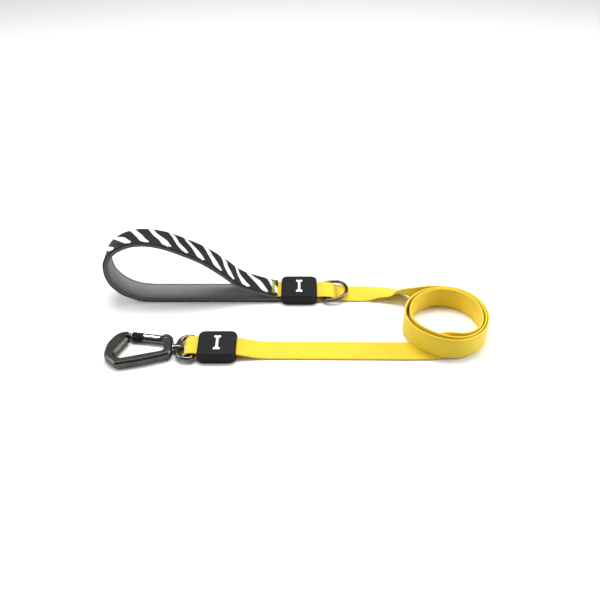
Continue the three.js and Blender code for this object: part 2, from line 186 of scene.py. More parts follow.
class Graph:
    """A principled material built node by node."""

    def __init__(self, name, color, roughness, metallic=0.0, **fixed):
        self.material = bpy.data.materials.new(name)
        self.material.use_nodes = True
        self.tree = self.material.node_tree
        self.shader = self.tree.nodes["Principled BSDF"]
        self.set("Base Color", (*color, 1.0))
        self.set("Roughness", roughness)
        self.set("Metallic", metallic)
        for socket, value in fixed.items():
            self.set(socket.replace("_", " "), value)

    def set(self, socket, value):
        if isinstance(value, bpy.types.NodeSocket):
            self.tree.links.new(value, self.shader.inputs[socket])
        else:
            self.shader.inputs[socket].default_value = value

    def node(self, kind, inputs=None, **settings):
        made = self.tree.nodes.new(kind)
        for key, value in settings.items():
            setattr(made, key, value)
        for key, value in (inputs or {}).items():
            if isinstance(value, bpy.types.NodeSocket):
                self.tree.links.new(value, made.inputs[key])
            else:
                made.inputs[key].default_value = value
        return made

    def math(self, operation, a, b=0.0, c=0.0):
        return self.node("ShaderNodeMath", {0: a, 1: b, 2: c}, operation=operation).outputs[0]

    def strand(self):
        """The along, across and depth places on the cloth."""
        place = self.node("ShaderNodeAttribute", attribute_name="strand").outputs["Vector"]
        return place, self.node("ShaderNodeSeparateXYZ", {0: place}).outputs

    def position(self):
        return self.node("ShaderNodeTexCoord").outputs["Object"]

    def noise(self, vector, scale, detail=2.0, distortion=0.0):
        made = self.node(
            "ShaderNodeTexNoise",
            {"Vector": vector, "Scale": scale, "Detail": detail, "Distortion": distortion},
        )
        return made.outputs["Fac"]

    def scaled(self, vector, scale):
        return self.node("ShaderNodeMapping", {"Vector": vector, "Scale": scale}).outputs["Vector"]

    def span(self, value, low, high, to_low=0.0, to_high=1.0):
        """Maps value from low..high to to_low..to_high, held inside."""
        made = self.node(
            "ShaderNodeMapRange",
            {"Value": value, "From Min": low, "From Max": high, "To Min": to_low, "To Max": to_high},
        )
        return made.outputs["Result"]

    def mix(self, factor, a, b):
        made = self.node("ShaderNodeMix", {"Factor": factor}, data_type="RGBA")
        for socket, value in ((made.inputs[6], a), (made.inputs[7], b)):
            if isinstance(value, bpy.types.NodeSocket):
                self.tree.links.new(value, socket)
            else:
                socket.default_value = (*value, 1.0)
        return made.outputs[2]

    def bump(self, height, distance, strength=1.0):
        made = self.node(
            "ShaderNodeBump", {"Height": height, "Distance": distance, "Strength": strength}
        )
        self.set("Normal", made.outputs["Normal"])


def weave_height(g, along, across, pitch_across, pitch_along):
    """Raised floats of a plain webbing weave, from 0 in the grooves to 1."""
    column = g.math("DIVIDE", across, pitch_across)
    ridge = g.math("ABSOLUTE", g.math("SINE", g.math("MULTIPLY", column, math.pi)))
    shift = g.math("MULTIPLY", g.math("FLOOR", column), 0.5)
    row = g.math("MULTIPLY", g.math("ADD", g.math("DIVIDE", along, pitch_along), shift), 2 * math.pi)
    float_height = g.math("MULTIPLY_ADD", g.math("SINE", row), 0.35, 0.65)
    return g.math("MULTIPLY", ridge, float_height)


def webbing_material():
    """Plain woven polyester, a little faded in patches, with painted shade that darkens the grooves of
    its weave.
    """
    g = Graph(
        "webbing",
        (0.9, 0.7, 0.03),
        0.62,
        Specular_IOR_Level=0.3,
        Sheen_Weight=0.12,
        Sheen_Roughness=0.5,
    )
    place, (along, across, _) = g.strand()
    weave = weave_height(g, along, across, 0.00085, 0.0016)
    fuzz = g.noise(place, 2600, 3)
    patches = g.noise(place, 55, 3)
    lit = g.mix(g.span(patches, 0.3, 0.7), (0.84, 0.64, 0.034), (0.78, 0.58, 0.04))
    # Painted shade: the colour turns darker and more orange where the weave is low, in its grooves.
    painted_shade_weave = g.mix(g.span(weave, 0.0, 0.55), (0.74, 0.5, 0.008), lit)
    g.set("Base Color", painted_shade_weave)
    g.set("Roughness", g.span(g.math("ADD", weave, fuzz), 0.3, 1.6, 0.78, 0.52))
    g.bump(g.math("MULTIPLY_ADD", fuzz, 0.25, weave), 0.00012, 0.7)
    return g.material


def stripe_material():
    """Black cloth with slanted white stripes that swell and taper across its width."""
    g = Graph("stripe_print", (0.02, 0.02, 0.022), 0.7, Specular_IOR_Level=0.2)
    place, (along, across, _) = g.strand()
    pitch = 0.0158  # from one stripe to the next, along the cloth
    slant = 0.86  # how far a stripe moves along the cloth for each step across it
    wobble = g.math("MULTIPLY", g.math("SUBTRACT", g.noise(place, 45, 1), 0.5), 0.012)
    shifted = g.math("ADD", g.math("MULTIPLY_ADD", across, slant, along), wobble)
    phase = g.math("FRACT", g.math("DIVIDE", shifted, pitch))
    centred = g.math("ABSOLUTE", g.math("SUBTRACT", phase, 0.5))
    swell = g.span(across, -0.0105, 0.005, 0.12, 0.225)
    tip = g.span(across, 0.0075, 0.0103, 0.0, 0.3)
    tapered = g.math("SUBTRACT", swell, tip)
    uneven = g.math("MULTIPLY_ADD", g.math("SUBTRACT", g.noise(place, 38, 0), 0.5), 0.09, tapered)
    inside = g.math("SUBTRACT", uneven, centred)
    white = g.span(inside, -0.008, 0.008)
    weave = weave_height(g, along, across, 0.0006, 0.0009)
    fleck = g.noise(place, 1800, 2)
    black = g.mix(g.span(fleck, 0.35, 0.75), (0.008, 0.008, 0.009), (0.02, 0.02, 0.021))
    chalk = g.mix(g.span(fleck, 0.3, 0.7), (0.74, 0.74, 0.73), (0.86, 0.86, 0.85))
    g.set("Base Color", g.mix(white, black, chalk))
    g.set("Roughness", g.span(fleck, 0.2, 0.8, 0.5, 0.72))
    g.bump(weave, 0.00012, 0.7)
    return g.material


def neoprene_material():
    """Grey foam with a fine knitted face, with painted shade in the low places of its knit, and darker
    beyond its seams.
    """
    g = Graph(
        "neoprene",
        (0.2, 0.2, 0.205),
        0.85,
        Specular_IOR_Level=0.3,
        Sheen_Weight=0.15,
        Sheen_Roughness=0.6,
    )
    place, (along, across, _) = g.strand()
    knit = weave_height(g, along, across, 0.00075, 0.0011)
    soft = g.noise(place, 120, 3)
    edge = g.span(g.math("ABSOLUTE", across), 0.0082, 0.0094)
    face = g.mix(g.span(soft, 0.3, 0.7), (0.23, 0.23, 0.235), (0.28, 0.28, 0.285))
    # Painted shade: the knit's low places are darkened.
    painted_shade_knit = g.mix(g.span(knit, 0.0, 0.5), (0.16, 0.16, 0.163), face)
    g.set("Base Color", g.mix(edge, painted_shade_knit, (0.1, 0.1, 0.097)))
    g.bump(g.math("MULTIPLY_ADD", soft, 0.8, knit), 0.00018, 0.8)
    return g.material


def edging_material():
    """Woven tape that binds the loop's edges, with painted shade between its ribs."""
    g = Graph("edging_tape", (0.1, 0.1, 0.1), 0.75, Specular_IOR_Level=0.25)
    place, (along, _, _) = g.strand()
    ribs = g.math("ABSOLUTE", g.math("SINE", g.math("MULTIPLY", along, math.pi / 0.0007)))
    fleck = g.noise(place, 900, 2)
    # Painted shade: the colour darkens towards the hollows between the ribs.
    g.set("Base Color", g.mix(g.span(ribs, 0.0, 0.8), (0.05, 0.05, 0.048), (0.13, 0.13, 0.125)))
    g.set("Roughness", g.span(fleck, 0.3, 0.7, 0.65, 0.85))
    g.bump(ribs, 0.00012, 0.8)
    return g.material


def thread_material(name, color, shade):
    """Twisted thread, in a lighter and a darker shade: painted shade darkens it in the grooves of its
    twist.
    """
    g = Graph(name, color, 0.55, Sheen_Weight=0.3, Sheen_Roughness=0.4)
    _, (along, across, _) = g.strand()
    twist = g.math("SINE", g.math("MULTIPLY", g.math("MULTIPLY_ADD", across, 2.0, along), 9000.0))
    # Painted shade: the thread turns to its darker shade where the twist's bump is low.
    g.set("Base Color", g.mix(g.span(twist, -1.0, 0.6), shade, color))
    g.set("Roughness", g.span(twist, -1.0, 1.0, 0.7, 0.5))
    g.bump(twist, 0.00006, 0.7)
    return g.material


def rubber_material(name, color, worn):
    """Matt moulded rubber with fine grain, rubbed patches and a little dust."""
    g = Graph(name, color, 0.58, Specular_IOR_Level=0.14)
    where = g.position()
    grain = g.noise(where, 1500, 3)
    handled = g.noise(where, 90, 4, 0.4)
    dust = g.noise(where, 420, 5)
    tone = g.mix(g.span(handled, 0.35, 0.75), color, worn)
    g.set("Base Color", g.mix(g.span(dust, 0.62, 0.8, 0.0, 0.35), tone, worn))
    g.set("Roughness", g.span(g.math("ADD", grain, handled), 0.7, 1.4, 0.5, 0.72))
    g.bump(grain, 0.00007, 0.7)
    return g.material


def metal_material(name, color, pale, roughness, grain_stretch=(900, 900, 900), bump=0.00002):
    """Plated or anodised metal with faint grain, handling marks and rubbed patches."""
    g = Graph(name, color, roughness, 1.0)
    where = g.position()
    grain = g.noise(g.scaled(where, grain_stretch), 1.0, 4)
    clouds = g.noise(where, 160, 4, 0.6)
    rubbed = g.noise(where, 520, 6, 0.3)
    tone = g.mix(g.span(clouds, 0.3, 0.7), color, tuple(0.82 * c for c in color))
    g.set("Base Color", g.mix(g.span(rubbed, 0.58, 0.76, 0.0, 0.6), tone, pale))
    g.set("Roughness", g.span(g.math("ADD", clouds, grain), 0.7, 1.4, roughness * 0.75, roughness * 1.35))
    g.bump(grain, bump, 0.6)
    return g.material


def floor_material():
    g = Graph("studio_floor", (0.93, 0.93, 0.93), 0.6, Specular_IOR_Level=0.2)
    faint = g.noise(g.position(), 30, 2)
    g.set("Roughness", g.span(faint, 0.3, 0.7, 0.5, 0.6))
    return g.material


WEBBING = webbing_material()
STRIPES = stripe_material()
NEOPRENE = neoprene_material()
EDGING = edging_material()
# Each thread's second colour is the painted shade in the grooves of its twist.
LIME_THREAD = thread_material("lime_thread", (0.68, 0.68, 0.06), (0.3, 0.32, 0.02))
GREY_THREAD = thread_material("grey_thread", (0.3, 0.3, 0.3), (0.12, 0.12, 0.12))
DARK_THREAD = thread_material("dark_thread", (0.03, 0.03, 0.03), (0.01, 0.01, 0.01))
YELLOW_THREAD = thread_material("yellow_thread", (0.9, 0.7, 0.04), (0.5, 0.33, 0.02))
RUBBER = rubber_material("black_rubber", (0.009, 0.0095, 0.0105), (0.016, 0.0165, 0.018))
WHITE_RUBBER = rubber_material("white_rubber", (0.8, 0.8, 0.78), (0.62, 0.62, 0.6))
GUNMETAL = metal_material("gunmetal_plate", (0.14, 0.128, 0.117), (0.3, 0.28, 0.26), 0.24)
FRAME_ALLOY = metal_material("gunmetal_alloy", (0.082, 0.077, 0.071), (0.2, 0.188, 0.175), 0.34)
BRIGHT_STEEL = metal_material(
    "bright_steel", (0.8, 0.8, 0.79), (0.92, 0.92, 0.91), 0.16, (200, 2600, 2600)
)
DARK_STEEL = metal_material(
    "dark_steel", (0.12, 0.12, 0.12), (0.4, 0.4, 0.39), 0.22, (200, 2600, 2600)
)
BLACK_ALLOY = metal_material("black_alloy", (0.02, 0.02, 0.021), (0.1, 0.1, 0.1), 0.4)

# ---- camera ----
CAMERA_TARGET = Vector((0.06275, 0.0354, 0.0))
CAMERA_DISTANCE = 0.668
CAMERA_ELEVATION = math.radians(40.5)

camera_data = bpy.data.cameras.new("camera")
camera_data.lens = 45.0
camera_data.sensor_width = 36.0
camera = bpy.data.objects.new("camera", camera_data)
camera.location = CAMERA_TARGET + CAMERA_DISTANCE * Vector(
    (0.0, -math.cos(CAMERA_ELEVATION), math.sin(CAMERA_ELEVATION))
)
camera.rotation_euler = (math.pi / 2 - CAMERA_ELEVATION, 0.0, 0.0)
bpy.context.scene.collection.objects.link(camera)
bpy.context.scene.camera = camera

# ---- free webbing ----
WEBBING_OUTLINE = flat_section(WEBBING_WIDTH, -WEBBING_THICKNESS / 2, WEBBING_THICKNESS / 2)
# Stations are [x, y, z, roll in degrees]; roll lifts the edge on the -Y side.
UPPER_RUN = [
    [0.0637, 0.0397, 0.0058, 0],
    [0.0780, 0.0397, 0.0058, 0],
    [0.0860, 0.0397, 0.00575, 0],
    [0.0910, 0.0397, 0.0048, 0],
    [0.0970, 0.0397, 0.0027, 0],
    [0.1030, 0.0397, 0.00125, 0],
    [0.1100, 0.0397, 0.00085, 0],
    [0.1210, 0.0396, 0.00085, 0],
    [0.1340, 0.0388, 0.0029, 12],
    [0.1470, 0.0360, 0.0049, 24],
    [0.1580, 0.0304, 0.0095, 60],
    [0.1680, 0.0284, 0.01005, 80],
    [0.1746, 0.0280, 0.01005, 88],
]
LOWER_RUN = [
    [0.1420, HOOK_Y - 0.0007, 0.0008, 0],
    [0.0500, HOOK_Y, 0.0008, 0],
    [0.0380, HOOK_Y, 0.00095, 0],
    [0.0300, HOOK_Y, 0.0014, 0],
    [0.0220, HOOK_Y, 0.0030, 0],
    [0.0140, HOOK_Y, 0.0050, 0],
    [0.0080, HOOK_Y, 0.0057, 0],
    [-0.0053, HOOK_Y, 0.0058, 0],
]
COIL_X = 0.1846
COIL_Y = -0.0071
# The coil's turns, from the outside in: degrees wound clockwise from the back, and radius.
COIL_TURNS = [
    (0, 0.0345),
    (180, 0.0345),
    (270, 0.0343),
    (360, 0.0327),
    (450, 0.0327),
    (540, 0.0314),
    (630, 0.0299),
    (720, 0.0310),
    (810, 0.0298),
]
# Where the strap slips out under the coil's front, each turn above it is lifted: centre and height.
COIL_LIFTS = [(212, 0.0024), (572, 0.0040)]
COIL_LIFT_REACH = 42  # degrees from a lift's centre over which it fades
COIL_STEP = 20  # degrees from one station to the next
COIL_CLEARANCE = 0.00005  # height of the webbing's lower edge in the coil
EXIT_CLEARANCE = 0.0001  # and where it leaves the coil
COIL_SPLIT = 400  # degrees wound where the two lengths of webbing meet, hidden between turns
# The innermost turn leaves under the others: [x, y] from the coil's centre, and roll.
COIL_EXIT = [
    [0.0286, -0.0085, 90],
    [0.0252, -0.0160, 90],
    [0.0195, -0.0214, 90],
    [0.0128, -0.0244, 90],
    [0.0066, -0.0254, 85],
    [0.0008, -0.0258, 68],
    [-0.0050, -0.0260, 46],
    [-0.0110, -0.0261, 26],
    [-0.0180, -0.0261, 12],
    [-0.0270, -0.0261, 4],
    [-0.0360, -0.0261, 0],
]


def coil_station(wound):
    """A station on the coil, where the webbing stands on edge."""
    radius = np.interp(wound, [a for a, _ in COIL_TURNS], [r for _, r in COIL_TURNS])
    lift = sum(h * math.exp(-(((wound - a) / COIL_LIFT_REACH) ** 2)) for a, h in COIL_LIFTS)
    angle = math.radians(wound)
    return [
        COIL_X + radius * math.sin(angle),
        COIL_Y + radius * math.cos(angle),
        WEBBING_WIDTH / 2 + COIL_CLEARANCE + lift,
        90,
    ]


def exit_station(x, y, roll):
    """A station whose lower edge rests on the floor."""
    slope = math.radians(roll)
    z = WEBBING_WIDTH / 2 * math.sin(slope) + WEBBING_THICKNESS / 2 * math.cos(slope)
    return [COIL_X + x, COIL_Y + y, z + EXIT_CLEARANCE, roll]


def webbing_length(name, stations, node_names):
    """One length of the free webbing."""
    samples, at = through(stations, WEBBING_STEP)
    strip = sweep(name, samples, at, lambda _: WEBBING_OUTLINE, WEBBING, "leash", "webbing")
    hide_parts(*node_names)


outer_turns = [coil_station(a) for a in range(0, COIL_SPLIT + 1, COIL_STEP)]
inner_turns = [coil_station(a) for a in range(COIL_SPLIT, COIL_TURNS[-1][0] + 1, COIL_STEP)]
webbing_length(
    "webbing_handle_side",
    UPPER_RUN + outer_turns,
    ["webbing_upper_run", "webbing_coil"],
)
webbing_length(
    "webbing_hook_side",
    inner_turns + [exit_station(*place) for place in COIL_EXIT] + LOWER_RUN,
    ["webbing_lower_run"],
)

# ---- hand loop ----
# [x, z] through the middle of the webbing in the loop, from the upper run's end round to the lower's.
HANDLE_ROUTE = [
    [0.0630, 0.0058],
    [0.0520, 0.0058],
    [0.0440, 0.0061],
    [0.0340, 0.0086],
    [0.0216, 0.0130],
    [0.0093, 0.0189],
    [-0.0020, 0.0293],
    [-0.0190, 0.0434],
    [-0.0357, 0.0527],
    [-0.0526, 0.0601],
    [-0.0680, 0.0629],
    [-0.0822, 0.0609],
    [-0.0956, 0.0532],
    [-0.1029, 0.0424],
    [-0.1038, 0.0289],
    [-0.1005, 0.0186],
    [-0.0925, 0.0096],
    [-0.0820, 0.0041],
    [-0.0700, 0.0020],
    [-0.0550, 0.00175],
    [0.0, 0.00175],
    [0.0340, 0.00175],
    [0.0470, 0.0023],
    [0.0630, 0.0023],
]

HANDLE_WIDTH = 0.021
COVER_SPAN = (0.0198, 0.3655)
EDGE_SPAN = (0.0205, 0.3665)
PAD_SPAN = (0.031, 0.3665)
COVER_THICKNESS = 0.0009
COVER_CROWN = 0.0002
COVER_RIPPLE = 0.00008  # the slight unevenness of the cloth's edges
PAD_THICKNESS = 0.0020
PAD_SWELL = 0.0006
SEAM = 0.0078  # distance of the lining's seams from its middle line
SEAM_DEPTH = 0.00085
SEAM_HALF_WIDTH = 0.00075
PAD_END_TAPER = 0.0012  # how much thinner the lining is at its ends
EDGE_PLACE = 0.00985  # distance of the edge rolls from the loop's middle line
EDGE_HALF_WIDTH = 0.00075
EDGE_HIGH = HALF_WEBBING + 0.0001
EDGE_LOW = -HALF_WEBBING - 0.0014


def in_plane(route, y):
    return [[x, y, z, 0] for x, z in route]


handle_samples, handle_at = through(in_plane(HANDLE_ROUTE, HANDLE_Y), LOOP_STEP)


def loop_strip(name, span, section, material, slot):
    """A strip that follows the hand loop over a span of distances."""
    keep = (handle_at >= span[0]) & (handle_at <= span[1])
    return sweep(
        name, handle_samples[keep], handle_at[keep], section, material, "leash", slot, RIGHT
    )


def end_fade(distance, span, length):
    """From 0 at the ends of span to 1 beyond length from them."""
    inside = min(distance - span[0], span[1] - distance)
    return float(np.clip(inside / length, 0.0, 1.0)) ** 0.5


def cover_section(distance):
    """Cloth that crowns a little over the webbing and rolls down at its edges."""
    outline = []
    fade = end_fade(distance, COVER_SPAN, 0.002)
    for a, b in flat_section(HANDLE_WIDTH, HALF_WEBBING, HALF_WEBBING + COVER_THICKNESS, 20):
        share = abs(a) / (HANDLE_WIDTH / 2)
        crown = COVER_CROWN * (1 - share**4) * fade
        ripple = COVER_RIPPLE * math.sin(distance * 520 + 3 * share) * share
        outline.append((a, b + (crown + ripple if b > HALF_WEBBING + 0.0002 else 0.0)))
    return outline


def pad_section(distance):
    """Foam that swells between two sewn seams and in a roll beyond each."""
    outline = []
    fade = end_fade(distance, PAD_SPAN, 0.004)
    for a, b in flat_section(HANDLE_WIDTH, -HALF_WEBBING - PAD_THICKNESS, -HALF_WEBBING, 44):
        pull = math.exp(-(((abs(a) - SEAM) / SEAM_HALF_WIDTH) ** 2))
        swell = PAD_SWELL * math.cos(min(1.0, abs(a) / SEAM) * math.pi / 2) ** 0.7
        lift = SEAM_DEPTH * pull - swell * fade + (1 - fade) * PAD_END_TAPER
        inner = b < -HALF_WEBBING - 0.0004
        outline.append((a, min(b + lift, -HALF_WEBBING - 0.0002) if inner else b))
    return outline


def edge_section(side):
    """The rolled edge that hides the webbing between cover and lining."""

    def section(distance):
        turn = np.linspace(0, 2 * math.pi, 14, endpoint=False)
        middle = (EDGE_HIGH + EDGE_LOW) / 2
        half_height = (EDGE_HIGH - EDGE_LOW) / 2
        return [
            (side * EDGE_PLACE + EDGE_HALF_WIDTH * math.cos(t), middle + half_height * math.sin(t))
            for t in turn
        ]

    return section


whole_loop = (handle_at[0], handle_at[-1])
core = loop_strip("handle_webbing", whole_loop, lambda _: WEBBING_OUTLINE, WEBBING, "webbing")
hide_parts("handle_core")
cover = loop_strip("handle_striped_cover", COVER_SPAN, cover_section, STRIPES, "stripe_print")
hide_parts("handle_cover")
pad = loop_strip("handle_lining", PAD_SPAN, pad_section, NEOPRENE, "neoprene")
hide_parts("handle_pad")
for label, side in (("near", 1), ("far", -1)):
    loop_strip(f"handle_edge_{label}", EDGE_SPAN, edge_section(side), EDGING, "neoprene")

# ---- sewing ----
STITCH_PITCH = 0.0026
STITCH_SHARE = 0.84  # how much of the pitch a stitch covers
COVER_SEAM = 0.0089  # distance of the cover's seams from its middle line


def round_sweep(name, points, radius, material, body, slot, sides=8, step=None):
    """A thread or wire along points, or along a smooth line through them where a step is given."""
    rows = np.array([[*p, 0] for p in points])
    samples, at = through(rows, step) if step else (rows, np.arange(len(rows)) * 0.0005)
    tangent = unit(np.gradient(samples[:, :3], axis=0))
    side = unit(np.cross(tangent, [0.31, 0.17, 0.93]))
    out = np.cross(tangent, side)
    vertices, coordinates = [], []
    for i in range(len(samples)):
        for j in range(sides):
            t = 2 * math.pi * j / sides
            offset = radius * (math.cos(t) * side[i] + math.sin(t) * out[i])
            vertices.append(samples[i, :3] + offset)
            coordinates.append((at[i], radius * t, 0.0))
    obj = new_object(name, vertices, ring_faces(len(samples), sides), material)
    write_strand(obj, coordinates)
    return attach(obj, body, slot)


def loop_place(distance, across, out):
    """A point beside the hand loop's middle line, across it and out from it."""
    i = int(np.clip(np.searchsorted(handle_at, distance), 1, len(handle_at) - 2))
    point = np.array([np.interp(distance, handle_at, handle_samples[:, k]) for k in range(3)])
    tangent = unit(handle_samples[i + 1, :3] - handle_samples[i - 1, :3])
    return point + across * np.array(RIGHT) + out * np.cross(tangent, RIGHT)


def stitch_row(name, span, across, out, pitch, material, radius=0.0002):
    """A row of single stitches, each a short thread that bows from out[0] to out[1] and back."""
    vertices, faces, coordinates = [], [], []
    sides, steps = 6, 6
    distance = span[0] + pitch
    while distance + pitch < span[1]:
        for k in range(steps + 1):
            t = k / steps
            rise = out[0] + (out[1] - out[0]) * math.sin(math.pi * t) ** 0.6
            centre = loop_place(distance + STITCH_SHARE * pitch * t, across, rise)
            ahead = loop_place(distance + STITCH_SHARE * pitch * t + 0.0002, across, rise)
            up = np.cross(unit(ahead - centre), RIGHT)
            for j in range(sides):
                turn = 2 * math.pi * j / sides
                offset = radius * (math.cos(turn) * np.array(RIGHT) + math.sin(turn) * up)
                vertices.append(centre + offset)
                coordinates.append((distance + pitch * t, radius * turn, 0.0))
        first = len(vertices) - sides * (steps + 1)
        faces += [tuple(first + v for v in face) for face in ring_faces(steps + 1, sides)]
        distance += pitch
    obj = new_object(name, vertices, faces, material)
    write_strand(obj, coordinates)
    return attach(obj, "leash", "thread")


for label, side in (("near", 1), ("far", -1)):
    under = (-HALF_WEBBING - 0.0009, -HALF_WEBBING - 0.0013)
    stitch_row(f"lining_seam_{label}", PAD_SPAN, side * SEAM, under, STITCH_PITCH, GREY_THREAD)
    over = (HALF_WEBBING + COVER_THICKNESS, HALF_WEBBING + COVER_THICKNESS + 0.0003)
    span = (COVER_SPAN[0] + 0.006, COVER_SPAN[1] - 0.006)
    stitch_row(
        f"cover_seam_{label}", span, side * COVER_SEAM, over, STITCH_PITCH, DARK_THREAD, 0.00015
    )


def zigzag(first, last, near, far, pitch):
    """Points that cross to and fro between first and last while they advance from near to far."""
    count = int(round((far - near) / pitch))
    return [
        ((last if k % 2 else first), near + (far - near) * k / count) for k in range(count + 1)
    ]


BARTACK_SPAN = (0.0226, 0.0259)  # distances along the hand loop
bartack_points = [
    loop_place(distance, across, HALF_WEBBING + COVER_THICKNESS + 0.00042)
    for distance, across in zigzag(*BARTACK_SPAN, -0.0088, 0.0088, 0.0010)
]
bartack = round_sweep(
    "handle_zigzag", bartack_points, 0.00022, LIME_THREAD, "leash", "thread", step=STITCH_STEP
)
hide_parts("handle_bartack")

# The tab's tail is sewn to the upper run beyond the ring's bar.
TAB_SEWING_SPAN = (0.0925, 0.0962)  # in X
run_samples, _ = through(UPPER_RUN, 0.0005)
tab_sewing_points = [
    (x, HANDLE_Y + across, np.interp(x, run_samples[:, 0], run_samples[:, 2]) + 0.00085)
    for x, across in zigzag(*TAB_SEWING_SPAN, -0.0086, 0.0086, 0.00095)
]
round_sweep(
    "ring_tab_sewing", tab_sewing_points, 0.0002, YELLOW_THREAD, "leash", "thread", step=STITCH_STEP
)

# ---- keeper sleeves ----
SLEEVE_LENGTH = 0.0315
SLEEVE_WIDTH = 0.0286
SLEEVE_HEIGHT = 0.010
SLEEVE_CORNER = 0.0052
SLEEVE_RIM = 0.0015
SLEEVE_FOOT = 0.0005
SLEEVE_SEAM = 0.00014  # how far the mould's parting line stands out
SLEEVE_SEAM_Z = 0.0046
SLOT_HALF_WIDTH = 0.0108
SLOT_BOTTOM = 0.0011
SLOT_TOP = 0.0086
SLOT_ROUNDING = 0.0006
SLOT_FLARE = 0.0004  # how much the slot widens at its mouths
HANDLE_SLEEVE_X = 0.062
HOOK_SLEEVE_X = -0.00475


def rounded_rectangle(half_width, low, high, low_radius, high_radius, per_corner=7, per_side=6):
    """Outline [y, z], counter-clockwise from the lower right corner."""
    arcs = []
    for y, z, start, radius in (
        (half_width, low, -90, low_radius),
        (half_width, high, 0, high_radius),
        (-half_width, high, 90, high_radius),
        (-half_width, low, 180, low_radius),
    ):
        turn = np.radians(np.linspace(start, start + 90, per_corner))
        centre_y = y - math.copysign(radius, y)
        centre_z = z + radius if z == low else z - radius
        arcs.append(
            np.column_stack([centre_y + radius * np.cos(turn), centre_z + radius * np.sin(turn)])
        )
    outline = []
    for arc, following in zip(arcs, arcs[1:] + arcs[:1]):
        outline += [*arc, *np.linspace(arc[-1], following[0], per_side + 2)[1:-1]]
    return outline


def sleeve_ring(x):
    """The sleeve's outer outline at a distance x from its middle: its corners round off towards
    both ends."""
    to_end = SLEEVE_LENGTH / 2 - abs(x)
    in_plan = max(0.0, SLEEVE_CORNER - to_end)
    in_side = max(0.0, SLEEVE_RIM - to_end)
    half = SLEEVE_WIDTH / 2 - (SLEEVE_CORNER - math.sqrt(SLEEVE_CORNER**2 - in_plan**2))
    inset = SLEEVE_RIM - math.sqrt(SLEEVE_RIM**2 - in_side**2)
    outline = rounded_rectangle(half, inset, SLEEVE_HEIGHT - inset, SLEEVE_FOOT, SLEEVE_RIM)
    seam = [
        SLEEVE_SEAM * math.exp(-(((z - SLEEVE_SEAM_Z) / 0.00022) ** 2)) for _, z in outline
    ]
    return [(x, y + math.copysign(s, y), z) for (y, z), s in zip(outline, seam)]


def keeper_sleeve(name, x, y, node):
    """A rubber block with a slot right through it along X."""
    quarter = np.sin(np.linspace(0, math.pi / 2, 9)) ** 0.8
    right = SLEEVE_LENGTH / 2 - SLEEVE_CORNER * (1 - quarter) - 0.00002
    places = [*(-right[::-1]), *np.linspace(-right[0], right[0], 12)[1:-1], *right]
    rings = [sleeve_ring(place) for place in places]
    slot, wide = (
        rounded_rectangle(
            SLOT_HALF_WIDTH + flare,
            SLOT_BOTTOM - flare,
            SLOT_TOP + flare,
            SLOT_ROUNDING + flare,
            SLOT_ROUNDING + flare,
        )
        for flare in (0.0, SLOT_FLARE)
    )
    end = SLEEVE_LENGTH / 2
    for place, outline in ((end, wide), (end - 0.0005, slot), (-end + 0.0005, slot), (-end, wide)):
        rings.append([(place, a, b) for a, b in outline])
    vertices = [(x + a, y + b, c) for ring in rings for a, b, c in ring]
    sleeve = new_object(name, vertices, ring_faces(len(rings), len(rings[0]), closed=True), RUBBER)
    return attach(sleeve, "leash", "black_rubber", node)


MARK_HALF_LENGTH = 0.0085
MARK_WAIST = 0.0011
MARK_LOBE = 0.0016
MARK_LOBE_X = 0.0013


def mark_half_width(y):
    """Half-width of the bone outline at a distance y from its middle."""
    reach = abs(abs(y) - (MARK_HALF_LENGTH - MARK_LOBE))
    lobe = MARK_LOBE_X + math.sqrt(max(0.0, MARK_LOBE**2 - reach**2)) if reach < MARK_LOBE else 0.0
    waist = MARK_WAIST if abs(y) < MARK_HALF_LENGTH - MARK_LOBE else 0.0
    return max(lobe, waist)


def sleeve_mark(name, x, y, node):
    """A white bone inlaid in the sleeve's top, with a notch at each end and a rolled edge."""
    rows = 56
    low, high = SLEEVE_HEIGHT - 0.0005, SLEEVE_HEIGHT + 0.00016
    lengthways = -MARK_HALF_LENGTH * np.cos(np.linspace(0.06, math.pi - 0.06, rows))
    right = [(mark_half_width(v), v) for v in lengthways]
    notch = MARK_HALF_LENGTH - 0.0008
    outline = [*right, (0.0, notch), *[(-a, b) for a, b in right[::-1]], (0.0, -notch)]
    rings = []  # each with its inset from the outline and its height
    for inset, z in ((0.0, low), (0.0, high - 0.00012), (0.00005, high - 0.00003), (0.00022, high)):
        rings += [
            (x + a - math.copysign(min(inset, abs(a)), a), y + b * (1 - inset / MARK_HALF_LENGTH), z)
            for a, b in outline
        ]
    mark = new_object(name, rings, ring_faces(4, len(outline)), WHITE_RUBBER)
    return attach(mark, "leash", "white_rubber", node)


def join_sewing(name, x, y, node):
    """The crossed box of stitches that joins the two layers inside a sleeve."""
    z = 0.00405
    reach = 0.0068
    corners = [(-1, -1), (1, -1), (1, 1), (-1, 1), (-1, -1), (1, 1), (1, -1), (-1, 1)]
    points = []
    for (a, b), (c, d) in zip(corners, corners[1:]):
        for t in np.linspace(0, 1, 16, endpoint=False):
            height = z + 0.0003 * math.cos(2 * math.pi * 4 * t)
            points.append((x + reach * (a + t * (c - a)), y + reach * (b + t * (d - b)), height))
    sewing = round_sweep(name, points, 0.0003, YELLOW_THREAD, "leash", "thread")
    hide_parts(node)


for side, x, y in (("handle", HANDLE_SLEEVE_X, HANDLE_Y), ("hook", HOOK_SLEEVE_X, HOOK_Y)):
    keeper_sleeve(f"{side}_keeper", x, y, f"{side}_sleeve")
    sleeve_mark(f"{side}_bone", x, y, f"{side}_sleeve_mark")
    join_sewing(f"{side}_box_stitch", x, y, f"{side}_join_stitching")

